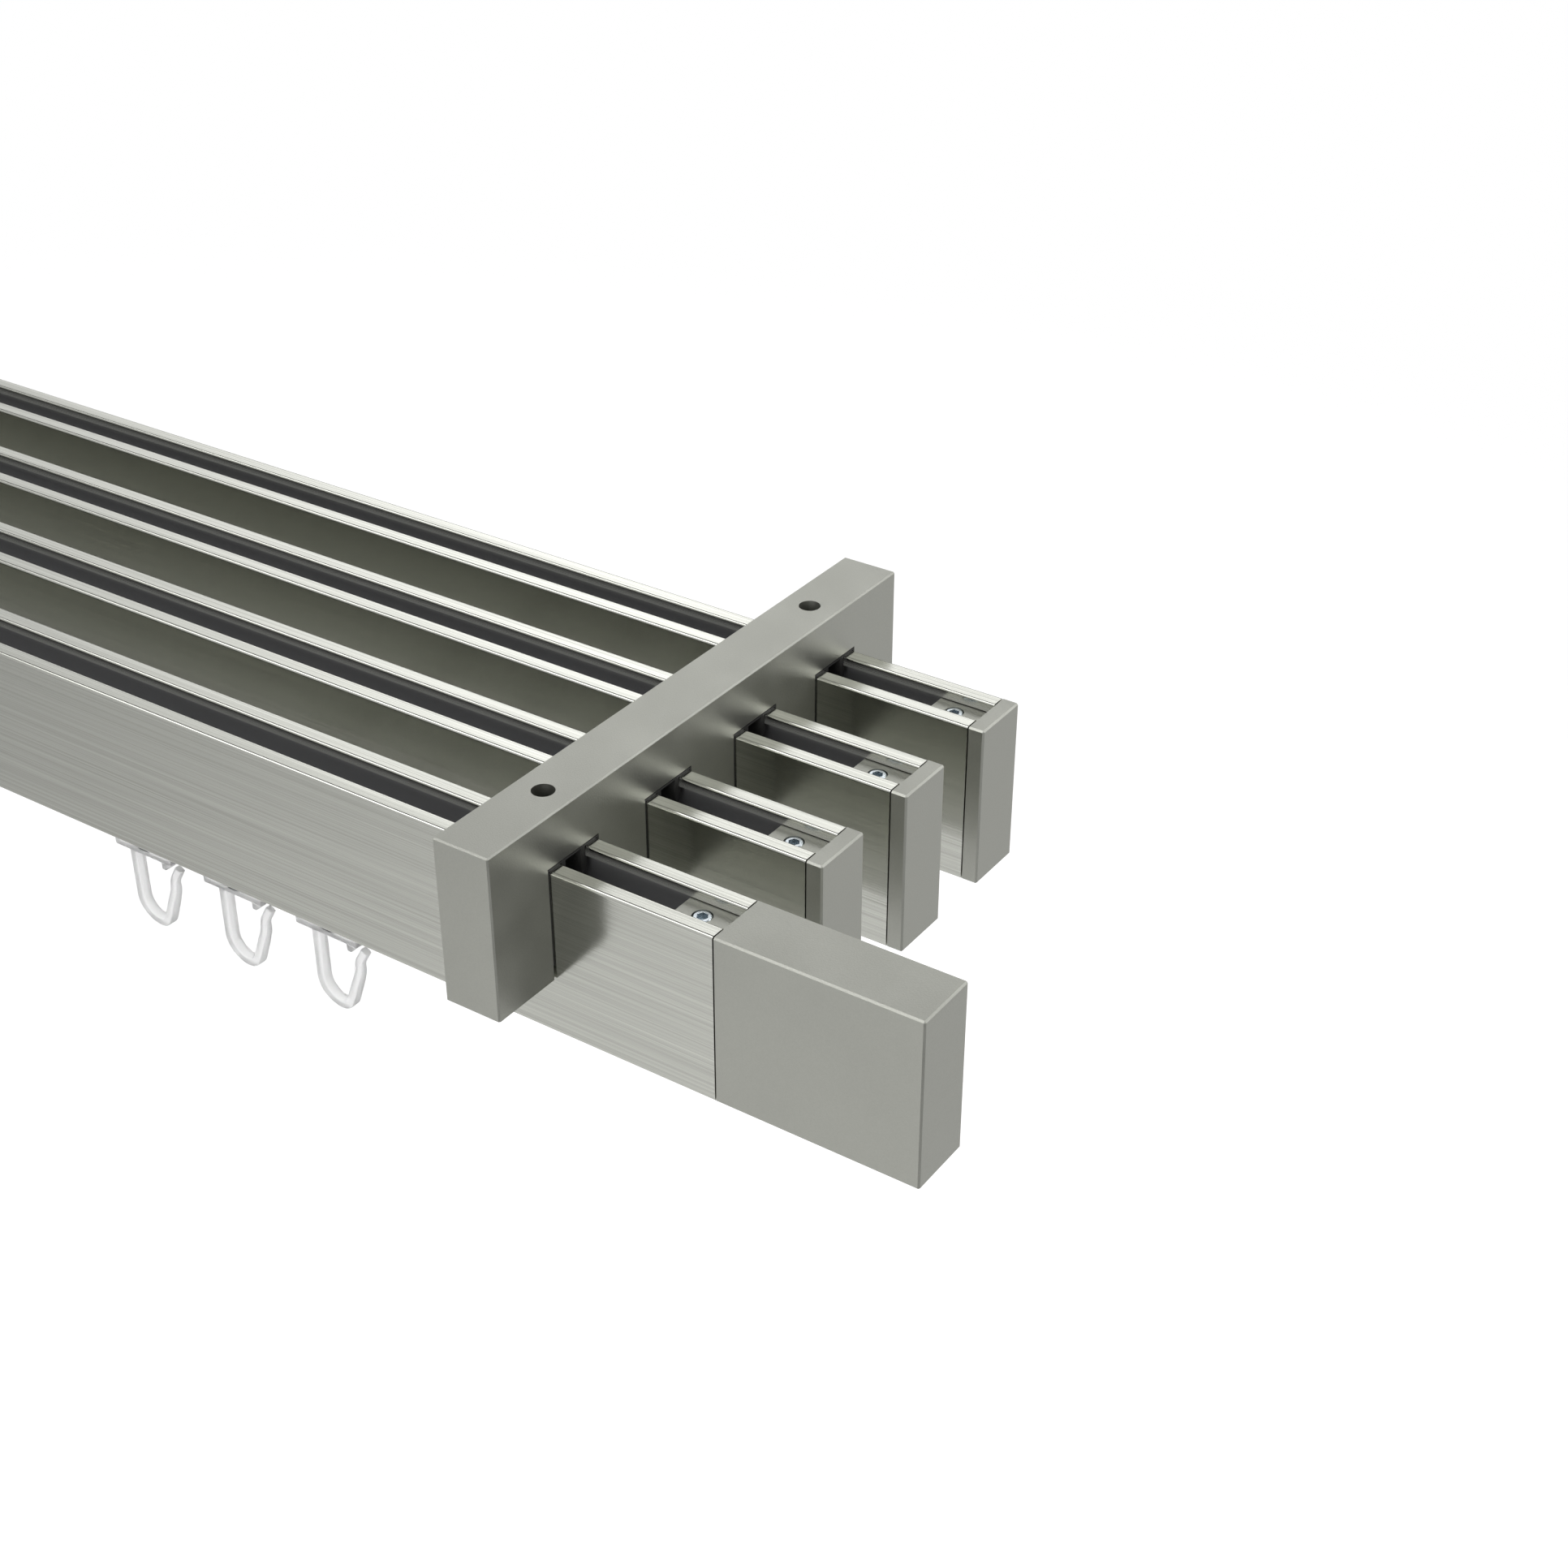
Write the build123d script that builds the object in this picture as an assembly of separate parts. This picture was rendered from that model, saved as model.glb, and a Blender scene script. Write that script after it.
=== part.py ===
"""Four-track curtain rod for the ceiling: hollow rods in comb brackets, with end pieces and gliders.

Frame, in millimetres: X runs along the rods, Y from the front rod to the back rod, Z up. The
origin is the centre of the ceiling screw pattern, on the brackets' top faces.
"""
from build123d import *
import os

# Rods: extruded profiles with a clip channel on top and a glider track below
rod_length = 1000.0
rod_count = 4
rod_pitch = 28.8
rod_width = 14.0
rod_height = 36.0
rod_edge_radius = 0.6
rod_wall = 1.6
web_thickness = 1.5
channel_slot_width = 7.0
channel_lip = 2.1
channel_depth = 6.25
track_slot_width = 6.0
track_lip = 1.8
track_depth = 8.0
slot_edge_radius = 0.5

# Comb brackets
bracket_thickness = 12.6
bracket_inset = 42.0
bracket_margin = 16.0
bracket_rise = 11.5
bracket_height = 35.0
bracket_edge_chamfer = 0.3
slot_side_gap = 0.4
slot_top_gap = 0.7
ceiling_hole_diameter = 4.5
countersink_diameter = 8.6

# Clips that hold the rods in the bracket slots
clip_plate = 0.45
clip_skirt = 0.3
clip_skirt_height = 21.0
clip_recess = 0.1
clip_lug_height = 2.0
clip_lug_depth = 0.6
clip_lug_length = 8.0
clip_leg = 1.1
clip_barb = 0.9
clip_leg_length = 5.4
clip_clearance = 0.15

# End pieces, each with a tongue that a set screw jams in the rod's channel
cap_gap = 0.3
end_block_length = 42.5
end_cap_thickness = 3.4
cap_edge_chamfer = 0.35
tongue_length = 12.4
tongue_height = 5.2
tongue_top_gap = 0.2
tongue_side_gap = 0.3
tongue_edge_chamfer = 0.2

# Set screws
screw_diameter = 3.7
screw_length = 6.0
screw_clearance = 0.15
screw_chamfer = 0.25
screw_from_rod_end = 7.1
hex_across_flats = 2.0
hex_depth = 2.2

# Gliders: a head that runs on the track's lips, a neck, and a hook that closes on a bar
glider_count = 3
glider_pitch = 26.4
first_glider_from_bracket = 65.0
glider_clearance = 0.3
glider_lift = 0.1
head_thickness = 2.0
head_length = 5.4
head_width = 9.4
head_corner_cut = 1.0
neck_length = 3.2
hook_depth = 2.4
bar_top = 5.2
bar_thickness = 1.9
bar_left = 8.7
bar_right = 8.0
tooth_left = 5.2
tooth_width = 1.2
tooth_drop = 1.5
stem_left = 4.4
stem_thickness = 2.2
hook_drop = 24.4
bend_height = 18.3
bend_centre = 2.0
bend_radius = 3.5
limb_thickness = 1.7
limb_angle = 20.0
limb_length = 7.4
back_radius = 8.0
flare_radius = 3.5
flare_angle = 30.0
tip_length = 3.2
tip_corner_cut = 0.5
taper_start = 17.0
taper_end = 11.0
limb_tip_depth = 1.2

# Heights and places that follow from the sizes above
rod_top = -bracket_rise
rod_bottom = rod_top - rod_height
inner_width = rod_width - 2 * rod_wall
channel_floor = -(channel_lip + channel_depth)
track_floor = -(rod_height - track_lip)
track_roof = track_floor + track_depth
middle_top = channel_floor - web_thickness
middle_bottom = track_roof + web_thickness
bracket_x = rod_length / 2 - bracket_inset
bracket_width = (rod_count - 1) * rod_pitch + rod_width + 2 * bracket_margin
slot_width = rod_width + 2 * slot_side_gap


def rod_y(index):
    """Y of the centre line of a rod, counted from 1 at the front."""
    return (index - 1 - (rod_count - 1) / 2) * rod_pitch


def box_between(low, high):
    """A box between two corners."""
    size = [b - a for a, b in zip(low, high)]
    return Pos(*low) * Box(*size, align=(Align.MIN, Align.MIN, Align.MIN))


def rectangle_between(left, right, bottom, top, radius=0.0):
    """A rectangle between four sides, with round corners where a radius is given."""
    width = right - left
    height = top - bottom
    shape = RectangleRounded(width, height, radius) if radius else Rectangle(width, height)
    return Pos((left + right) / 2, (bottom + top) / 2) * shape


def along_x(section, length):
    """A section drawn in Y and Z, carried along X and centred on X = 0."""
    return extrude(Plane.YZ * section, amount=length / 2, both=True)


def rod():
    """One rod: the outer skin, two webs, the clip channel with its lips and the glider track."""
    half_inner = inner_width / 2
    half_channel = channel_slot_width / 2
    half_track = track_slot_width / 2
    section = rectangle_between(
        -rod_width / 2, rod_width / 2, -rod_height, 0, rod_edge_radius
    )
    section -= rectangle_between(-half_inner, half_inner, channel_floor, -channel_lip)
    section -= rectangle_between(-half_inner, half_inner, middle_bottom, middle_top)
    section -= rectangle_between(-half_inner, half_inner, track_floor, track_roof)
    section -= rectangle_between(-half_channel, half_channel, channel_floor, rod_height)
    section -= rectangle_between(-half_track, half_track, -2 * rod_height, track_roof)
    lip_corners = [
        v
        for v in section.vertices()
        if (abs(v.Y) < 1e-6 and abs(abs(v.X) - half_channel) < 1e-6)
        or (abs(v.Y + rod_height) < 1e-6 and abs(abs(v.X) - half_track) < 1e-6)
    ]
    section = fillet(lip_corners, slot_edge_radius)
    return Pos(0, 0, rod_top) * along_x(section, rod_length)


def bracket():
    """One comb bracket, centred on X = 0: the bar, its open slots and its ceiling holes."""
    half_width = bracket_width / 2
    body = box_between(
        (-bracket_thickness / 2, -half_width, -bracket_height),
        (bracket_thickness / 2, half_width, 0),
    )
    lower_edges = body.edges().group_by(Axis.Z)[0]
    body = chamfer(body.edges() - lower_edges, bracket_edge_chamfer)
    slot_roof = rod_top + slot_top_gap
    notch_half_length = clip_lug_length / 2 + clip_clearance
    notch_depth = slot_width / 2 + clip_lug_depth + clip_clearance
    notch_bottom = rod_top + clip_plate - clip_skirt_height - clip_clearance
    notch_top = notch_bottom + clip_lug_height + 2 * clip_clearance
    for index in range(1, rod_count + 1):
        y = rod_y(index)
        body -= box_between(
            (-bracket_thickness, y - slot_width / 2, -2 * bracket_height),
            (bracket_thickness, y + slot_width / 2, slot_roof),
        )
        body -= box_between(
            (-notch_half_length, y - notch_depth, notch_bottom),
            (notch_half_length, y + notch_depth, notch_top),
        )
    cone_height = (countersink_diameter - ceiling_hole_diameter) / 2
    for index in (1, rod_count):
        y = rod_y(index)
        body -= Pos(0, y, slot_roof / 2) * Cylinder(
            ceiling_hole_diameter / 2, 2 * abs(slot_roof)
        )
        body -= Pos(0, y, slot_roof + cone_height / 2) * Cone(
            countersink_diameter / 2, ceiling_hole_diameter / 2, cone_height
        )
    return body


def clip():
    """One clip, at the rod's centre line: plate, two skirts with lugs and two barbed legs."""
    half_plate = slot_width / 2 - (slot_side_gap - clip_skirt) / 2
    skirt_foot = clip_plate - clip_skirt_height
    length = bracket_thickness - 2 * clip_recess
    section = rectangle_between(-half_plate, half_plate, 0, clip_plate)
    for side in (-1, 1):
        edge = half_plate - clip_skirt
        section += rectangle_between(
            min(side * edge, side * half_plate),
            max(side * edge, side * half_plate),
            skirt_foot,
            clip_plate,
        )
        outer = channel_slot_width / 2 - clip_clearance
        inner = outer - clip_leg
        shoulder = -channel_lip - clip_clearance
        outline = Polyline(
            (side * inner, clip_plate / 2),
            (side * outer, clip_plate / 2),
            (side * outer, shoulder),
            (side * (outer + clip_barb), shoulder),
            (side * outer, -clip_leg_length),
            (side * inner, -clip_leg_length),
            close=True,
        )
        section += make_face(outline)
    body = along_x(section, length)
    for side in (-1, 1):
        lug_inner = half_plate - clip_skirt / 2
        lug_outer = slot_width / 2 + clip_lug_depth
        body += box_between(
            (-clip_lug_length / 2, min(side * lug_inner, side * lug_outer), skirt_foot),
            (
                clip_lug_length / 2,
                max(side * lug_inner, side * lug_outer),
                skirt_foot + clip_lug_height,
            ),
        )
    return Pos(0, 0, rod_top) * body


def end_piece(length):
    """An end piece for the right end of a rod: a solid block with its tongue."""
    seat = rod_length / 2 + cap_gap
    block = box_between(
        (seat, -rod_width / 2, rod_bottom), (seat + length, rod_width / 2, rod_top)
    )
    seat_edges = block.edges().group_by(Axis.X)[0]
    block = chamfer(block.edges() - seat_edges, cap_edge_chamfer)
    tongue_top = rod_top - channel_lip - tongue_top_gap
    half_tongue = inner_width / 2 - tongue_side_gap
    tongue = box_between(
        (rod_length / 2 - tongue_length, -half_tongue, tongue_top - tongue_height),
        (seat + cap_edge_chamfer, half_tongue, tongue_top),
    )
    root_edges = tongue.edges().group_by(Axis.X)[-1]
    tongue = chamfer(tongue.edges() - root_edges, tongue_edge_chamfer)
    hole = Pos(rod_length / 2 - screw_from_rod_end, 0, tongue_top) * Cylinder(
        screw_diameter / 2 + screw_clearance, 3 * tongue_height
    )
    return block + (tongue - hole)


def set_screw():
    """A hex socket set screw of the right end, which stands on the channel's floor."""
    radius = screw_diameter / 2
    body = Cylinder(radius, screw_length, align=(Align.CENTER, Align.CENTER, Align.MIN))
    body = chamfer(body.edges().group_by(Axis.Z)[-1], screw_chamfer)
    socket = RegularPolygon(hex_across_flats / 2, 6, major_radius=False)
    body -= Pos(0, 0, screw_length - hex_depth) * extrude(socket, amount=2 * hex_depth)
    return Pos(rod_length / 2 - screw_from_rod_end, 0, rod_top + channel_floor) * body


def bar_outline():
    """The glider's bar with the tooth that closes the hook, in X and Z below the rod."""
    bar_bottom = -(bar_top + bar_thickness)
    tooth_right = tooth_left + tooth_width
    outline = Polyline(
        (bar_right, -bar_top),
        (-bar_left, -bar_top),
        (-bar_left, bar_bottom),
        (tooth_left, bar_bottom),
        (tooth_left, bar_bottom - tooth_drop),
        (tooth_right, bar_bottom - tooth_drop),
        (bar_right, bar_bottom - tooth_drop + bar_right - tooth_right),
        close=True,
    )
    return make_face(outline)


def hook_outline():
    """The glider's hook as one closed face in X and Z: stem, bend, limb and outward tip."""
    stem_right = stem_left - stem_thickness
    middle = bar_top + bar_thickness / 2
    bend = (bend_centre, -bend_height)
    inner_drop = hook_drop - limb_thickness
    turn = Vector(bend_centre, bend_radius - hook_drop)
    limb = Vector(0, 1).rotate(Axis.Z, -limb_angle)
    across = limb.rotate(Axis.Z, -90)
    outer_foot = turn + across * bend_radius
    inner_foot = turn + across * (bend_radius - limb_thickness)
    half = limb_thickness / 2
    with BuildLine() as line:
        Polyline((-stem_right, -bend_height), (-stem_right, -middle), (-stem_left, -middle))
        Line((-stem_left, -middle), (-stem_left, -bend_height))
        EllipticalCenterArc(
            bend, bend_centre + stem_left, hook_drop - bend_height, 180, arc_size=90
        )
        CenterArc(turn, bend_radius, 270, 90 - limb_angle)
        outer = Line(outer_foot, outer_foot + limb * limb_length)
        outer = JernArc(outer @ 1, outer % 1, back_radius + half, limb_angle)
        outer = JernArc(outer @ 1, outer % 1, flare_radius - half, -flare_angle)
        outer = Line(outer @ 1, outer @ 1 + (outer % 1) * tip_length)
        inner = Line(inner_foot, inner_foot + limb * limb_length)
        inner = JernArc(inner @ 1, inner % 1, back_radius - half, limb_angle)
        inner = JernArc(inner @ 1, inner % 1, flare_radius + half, -flare_angle)
        inner = Line(inner @ 1, inner @ 1 + (inner % 1) * tip_length)
        forward = (outer % 1) * tip_corner_cut
        inward = (inner @ 1 - outer @ 1).normalized() * tip_corner_cut
        Polyline(
            outer @ 1, outer @ 1 + forward + inward, inner @ 1 + forward - inward, inner @ 1
        )
        CenterArc(turn, bend_radius - limb_thickness, 270, 90 - limb_angle)
        EllipticalCenterArc(
            bend, bend_centre + stem_right, inner_drop - bend_height, 180, arc_size=90
        )
    return make_face(line.edges())


def hook():
    """The hook, whose limb grows thinner towards its tip."""
    body = extrude(Plane.XZ * hook_outline(), amount=hook_depth / 2, both=True)
    thin = limb_tip_depth / 2
    for side in (-1, 1):
        wedge = Polyline(
            (side * hook_depth / 2, -taper_start),
            (side * thin, -taper_end),
            (side * thin, 0),
            (side * hook_depth, 0),
            (side * hook_depth, -taper_start),
            close=True,
        )
        body -= Pos(bend_centre, 0, 0) * extrude(
            Plane.YZ * make_face(wedge), amount=hook_drop
        )
    return body


def glider():
    """One glider, centred on X = 0 and Y = 0, hanging in a track."""
    bar = extrude(Plane.XZ * bar_outline(), amount=hook_depth / 2, both=True)
    guide = track_slot_width - 2 * glider_clearance
    head_bottom = track_lip + glider_lift
    neck = box_between(
        (-neck_length / 2, -hook_depth / 2, -bar_top - bar_thickness / 2),
        (neck_length / 2, hook_depth / 2, head_bottom + head_thickness / 2),
    )
    guide_block = box_between((-guide / 2, -guide / 2, 0), (guide / 2, guide / 2, head_bottom))
    head = Box(
        head_length, head_width, head_thickness, align=(Align.CENTER, Align.CENTER, Align.MIN)
    )
    head = Pos(0, 0, head_bottom) * chamfer(head.edges().filter_by(Axis.Z), head_corner_cut)
    return Pos(0, 0, rod_bottom) * (hook() + bar + neck + guide_block + head)


def write(shape, name):
    """Writes one node's STEP file."""
    export_step(shape, f"parts/{name}.step")


def main():
    """Places every piece and writes its file."""
    os.makedirs("parts", exist_ok=True)
    one_rod = rod()
    one_bracket = bracket()
    one_clip = clip()
    one_screw = set_screw()
    one_glider = glider()
    block = end_piece(end_block_length)
    cap = end_piece(end_cap_thickness)
    for side, sign in (("right", 1), ("left", -1)):
        write(Pos(sign * bracket_x, 0, 0) * one_bracket, f"bracket_{side}")
    for index in range(1, rod_count + 1):
        y = rod_y(index)
        write(Pos(0, y, 0) * one_rod, f"rod_{index}")
        right_end = block if index == 1 else cap
        end_name = "end_block" if index == 1 else "end_cap"
        for side, sign in (("right", 1), ("left", -1)):
            end = right_end if sign > 0 else mirror(right_end, about=Plane.YZ)
            screw = one_screw if sign > 0 else mirror(one_screw, about=Plane.YZ)
            write(Pos(sign * bracket_x, y, 0) * one_clip, f"clip_{side}_{index}")
            write(Pos(0, y, 0) * end, f"{end_name}_{side}_{index}")
            write(Pos(0, y, 0) * screw, f"set_screw_{side}_{index}")
        first_x = bracket_x + bracket_thickness / 2 - first_glider_from_bracket
        for place in range(glider_count):
            x = first_x - (glider_count - 1 - place) * glider_pitch
            write(Pos(x, y, 0) * one_glider, f"glider_{index}{chr(ord('a') + place)}")


main()
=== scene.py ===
"""Looks of the four-track curtain rod: brushed rods, satin metal, moulded gliders and a studio."""

import math

import bpy
import numpy as np
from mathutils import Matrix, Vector


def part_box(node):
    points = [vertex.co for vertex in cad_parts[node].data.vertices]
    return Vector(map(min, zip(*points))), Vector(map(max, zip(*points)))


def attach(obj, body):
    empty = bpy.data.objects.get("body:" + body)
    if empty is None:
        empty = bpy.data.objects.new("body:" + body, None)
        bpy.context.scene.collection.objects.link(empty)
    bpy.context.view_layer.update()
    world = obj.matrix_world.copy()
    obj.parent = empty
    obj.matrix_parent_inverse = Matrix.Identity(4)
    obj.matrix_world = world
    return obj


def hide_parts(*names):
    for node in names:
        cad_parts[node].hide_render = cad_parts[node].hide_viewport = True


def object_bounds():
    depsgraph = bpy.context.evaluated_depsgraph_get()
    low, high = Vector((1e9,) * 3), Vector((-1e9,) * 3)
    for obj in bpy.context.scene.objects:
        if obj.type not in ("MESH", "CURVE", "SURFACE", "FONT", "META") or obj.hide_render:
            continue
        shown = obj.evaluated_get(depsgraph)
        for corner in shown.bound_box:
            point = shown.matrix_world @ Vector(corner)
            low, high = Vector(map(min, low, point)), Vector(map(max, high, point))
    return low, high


bl_info = {
    "name": "Curtain rod looks",
    "version": (1, 0, 0),
    "blender": (4, 5, 0),
    "location": "View3D > Sidebar > Curtain rod",
    "description": "Finishes for a four-track curtain rod, with its moulded gliders and a studio",
    "category": "Object",
}

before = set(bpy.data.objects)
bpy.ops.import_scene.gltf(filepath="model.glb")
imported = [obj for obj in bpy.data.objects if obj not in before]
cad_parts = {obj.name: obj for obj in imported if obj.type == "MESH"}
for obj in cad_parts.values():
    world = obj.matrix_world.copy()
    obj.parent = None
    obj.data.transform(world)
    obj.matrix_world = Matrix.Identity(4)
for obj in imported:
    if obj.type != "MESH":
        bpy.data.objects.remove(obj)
CAD_LOW, CAD_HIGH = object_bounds()

SIDES = ["right", "left"]
RODS = [f"rod_{i}" for i in range(1, 5)]
BRACKETS = [f"bracket_{side}" for side in SIDES]
END_PIECES = [f"end_block_{side}_1" for side in SIDES]
END_PIECES += [f"end_cap_{side}_{i}" for side in SIDES for i in range(2, 5)]
CLIPS = [f"clip_{side}_{i}" for side in SIDES for i in range(1, 5)]
SCREWS = [f"set_screw_{side}_{i}" for side in SIDES for i in range(1, 5)]
GLIDERS = [f"glider_{i}{place}" for i in range(1, 5) for place in "abc"]


class CurtainRodFinishes(bpy.types.PropertyGroup):
    """Colours and fine marks of the finishes."""

    rod_light: bpy.props.FloatVectorProperty(
        name="Rod, light streaks", description="Colour of the polished streaks of the rods",
        subtype="COLOR", size=3, min=0, max=1, default=(0.66, 0.666, 0.615))
    rod_dark: bpy.props.FloatVectorProperty(
        name="Rod, dark streaks", description="Colour of the cut streaks of the rods",
        subtype="COLOR", size=3, min=0, max=1, default=(0.482, 0.488, 0.447))
    # Painted shade: this dark, dull colour in the channel and the track stands in for the shade in
    # these hollows.
    rod_inside_shade: bpy.props.FloatVectorProperty(
        name="Rod, inside", description="Colour of the dull coat inside the channel and the track",
        subtype="COLOR", size=3, min=0, max=1, default=(0.2, 0.2, 0.205))
    rod_roughness: bpy.props.FloatProperty(
        name="Rod roughness", description="Mean roughness of the brushed rods",
        subtype="FACTOR", min=0, max=1, default=0.18)
    # Where the painted shade inside stops short of the rods' top and bottom edges.
    shade_free_edge: bpy.props.FloatProperty(
        name="Bare edge", description="How far the bare metal reaches round the edges into a slot",
        subtype="DISTANCE", unit="LENGTH", min=0.0001, max=0.01, default=0.0005)
    # How far up a slot the painted shade fades out.
    shade_fade: bpy.props.FloatProperty(
        name="Coat fade", description="Over what height the dark coat fades out in a slot",
        subtype="DISTANCE", unit="LENGTH", min=0.0001, max=0.01, default=0.0036)
    streak_width: bpy.props.FloatProperty(
        name="Streak width", description="Mean width of one brushing streak",
        subtype="DISTANCE", unit="LENGTH", min=0.0001, max=0.01, default=0.0003)
    streak_length: bpy.props.FloatProperty(
        name="Streak length", description="Mean length of one brushing streak",
        subtype="DISTANCE", unit="LENGTH", min=0.001, max=1, default=0.08)
    satin_colour: bpy.props.FloatVectorProperty(
        name="Satin metal", description="Colour of the blasted brackets and end pieces",
        subtype="COLOR", size=3, min=0, max=1, default=(0.436, 0.441, 0.401))
    satin_roughness: bpy.props.FloatProperty(
        name="Satin roughness", description="Mean roughness of the brackets and end pieces",
        subtype="FACTOR", min=0, max=1, default=0.41)
    grain_size: bpy.props.FloatProperty(
        name="Satin grain", description="Size of one grain of the blasted metal",
        subtype="DISTANCE", unit="LENGTH", min=0.00005, max=0.01, default=0.0003)
    screw_colour: bpy.props.FloatVectorProperty(
        name="Set screws", description="Colour of the zinc-plated set screws",
        subtype="COLOR", size=3, min=0, max=1, default=(0.70, 0.76, 0.80))
    clip_colour: bpy.props.FloatVectorProperty(
        name="Clips", description="Colour of the moulded clips",
        subtype="COLOR", size=3, min=0, max=1, default=(0.035, 0.035, 0.033))
    glider_colour: bpy.props.FloatVectorProperty(
        name="Gliders", description="Colour of the translucent gliders",
        subtype="COLOR", size=3, min=0, max=1, default=(0.955, 0.955, 0.955))


class CurtainRodGlider(bpy.types.PropertyGroup):
    """Sizes of one moulded glider."""

    depth: bpy.props.FloatProperty(
        name="Depth", description="How deep the hook and the bar are, front to back",
        subtype="DISTANCE", unit="LENGTH", min=0.001, max=0.01, default=0.0024)
    edge: bpy.props.FloatProperty(
        name="Edge radius", description="Rounding of the moulded edges",
        subtype="DISTANCE", unit="LENGTH", min=0.00005, max=0.002, default=0.00035)
    stem: bpy.props.FloatProperty(
        name="Stem thickness", description="Thickness of the hook where it leaves the bar",
        subtype="DISTANCE", unit="LENGTH", min=0.0005, max=0.01, default=0.0022)
    limb: bpy.props.FloatProperty(
        name="Limb thickness", description="Thickness of the hook's springy limb",
        subtype="DISTANCE", unit="LENGTH", min=0.0005, max=0.01, default=0.0019)
    tip_depth: bpy.props.FloatProperty(
        name="Tip depth", description="How deep the limb still is at its tip, front to back",
        subtype="DISTANCE", unit="LENGTH", min=0.0005, max=0.01, default=0.0016)
    drop: bpy.props.FloatProperty(
        name="Drop", description="How far the hook hangs below the foot of the glider's guide",
        subtype="DISTANCE", unit="LENGTH", min=0.01, max=0.1, default=0.0244)


class CurtainRodStudio(bpy.types.PropertyGroup):
    """The floor, the light and the camera of the picture."""

    camera_place: bpy.props.FloatVectorProperty(
        name="Camera place", description="Where the camera stands",
        subtype="XYZ", unit="LENGTH", size=3, default=(0.70053, -0.32421, 0.22894))
    camera_aim: bpy.props.FloatVectorProperty(
        name="Camera aim", description="The direction that the camera looks in",
        subtype="DIRECTION", size=3, default=(-0.47718194, 0.70449389, -0.52533005))
    lens: bpy.props.FloatProperty(
        name="Lens", description="Focal length on a sensor 36 mm wide",
        subtype="DISTANCE_CAMERA", min=10, max=300, default=55.55)
    floor_drop: bpy.props.FloatProperty(
        name="Floor drop", description="How far the floor lies below the gliders",
        subtype="DISTANCE", unit="LENGTH", min=0, max=2, default=0.35)
    floor_shade: bpy.props.FloatProperty(
        name="Floor shade", description="How much of the light the pale floor gives back",
        subtype="FACTOR", min=0, max=1, default=0.45)
    floor_radius: bpy.props.FloatProperty(
        name="Floor radius", description="Where the floor has melted into the white all round",
        subtype="DISTANCE", unit="LENGTH", min=0.5, max=10, default=1.3)
    floor_lift: bpy.props.FloatProperty(
        name="Floor lift", description="What the floor gives off, so that the camera sees white",
        min=0, max=1, default=0.8)
    floor_glow: bpy.props.FloatProperty(
        name="Floor in reflections", description="What the floor's right side adds in reflections",
        min=0, max=1, default=0.36)
    sky: bpy.props.FloatProperty(
        name="Even light", description="Strength of the even white light from all round",
        min=0, max=2, default=0.3)
    sky_in_metal: bpy.props.FloatProperty(
        name="White in reflections", description="Strength of the white all round in reflections",
        min=0, max=2, default=0.68)
    dusk_behind: bpy.props.FloatProperty(
        name="Dusk behind", description="How much dimmer that white is behind and above",
        subtype="FACTOR", min=0, max=1, default=0.82)
    dusk_left: bpy.props.FloatProperty(
        name="Dusk at the left", description="How much dimmer that white is at the far left",
        subtype="FACTOR", min=0, max=1, default=0.3)
    overhead: bpy.props.FloatProperty(
        name="Overhead softbox", description="Power of the large soft lamp over the object",
        subtype="POWER", unit="POWER", min=0, max=500, default=10.0)
    rim: bpy.props.FloatProperty(
        name="Rim lamp", description="Power of the small soft lamp behind and to the right",
        subtype="POWER", unit="POWER", min=0, max=500, default=4.5)
    fill: bpy.props.FloatProperty(
        name="Fill lamp", description="Power of the soft lamp in front, turned to the floor",
        subtype="POWER", unit="POWER", min=0, max=500, default=3.0)
    strip: bpy.props.FloatProperty(
        name="Strip light", description="Strength of the long strip light's bright end",
        min=0, max=20, default=1.9)
    strip_dip: bpy.props.FloatProperty(
        name="Strip light's band", description="How much dimmer its slanted band is",
        subtype="FACTOR", min=0, max=1, default=0.28)
    dark_card: bpy.props.FloatProperty(
        name="Dark card", description="Shade of the card beside the camera that the metal shows",
        subtype="FACTOR", min=0, max=1, default=0.2)


def node_of(tree, kind, place, **values):
    """Adds one shader node at a place of the graph and sets its named options."""
    node = tree.nodes.new(kind)
    node.location = place
    for name, value in values.items():
        setattr(node, name, value)
    return node


def feed(tree, node, values):
    """Links a node's inputs, by name or number, to sockets, or sets them to plain values."""
    for key, value in values.items():
        if isinstance(value, bpy.types.NodeSocket):
            tree.links.new(value, node.inputs[key])
        else:
            node.inputs[key].default_value = value


def group_with(name, inputs, outputs):
    """An empty shader group of number sockets: inputs as names with defaults, outputs as names."""
    group = bpy.data.node_groups.new(name, "ShaderNodeTree")
    for label, value in inputs.items():
        slot = group.interface.new_socket(label, in_out="INPUT", socket_type="NodeSocketFloat")
        slot.default_value = value
    for label in outputs:
        group.interface.new_socket(label, in_out="OUTPUT", socket_type="NodeSocketFloat")
    start = node_of(group, "NodeGroupInput", (-900, 0))
    end = node_of(group, "NodeGroupOutput", (900, 0))
    return group, start.outputs, end


def math_node(tree, operation, place, *values):
    """A Math node with its values, each a socket or a number."""
    node = node_of(tree, "ShaderNodeMath", place, operation=operation)
    feed(tree, node, dict(enumerate(values)))
    return node.outputs[0]


def mapped(tree, place, value, start, stop, low=0.0, high=1.0, soft=False):
    """A value's way from start to stop taken to low and high and held there, straight or softly."""
    kind = "SMOOTHSTEP" if soft else "LINEAR"
    node = node_of(tree, "ShaderNodeMapRange", place, interpolation_type=kind)
    feed(tree, node, {
        "Value": value, "From Min": start, "From Max": stop, "To Min": low, "To Max": high})
    return node.outputs["Result"]


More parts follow.
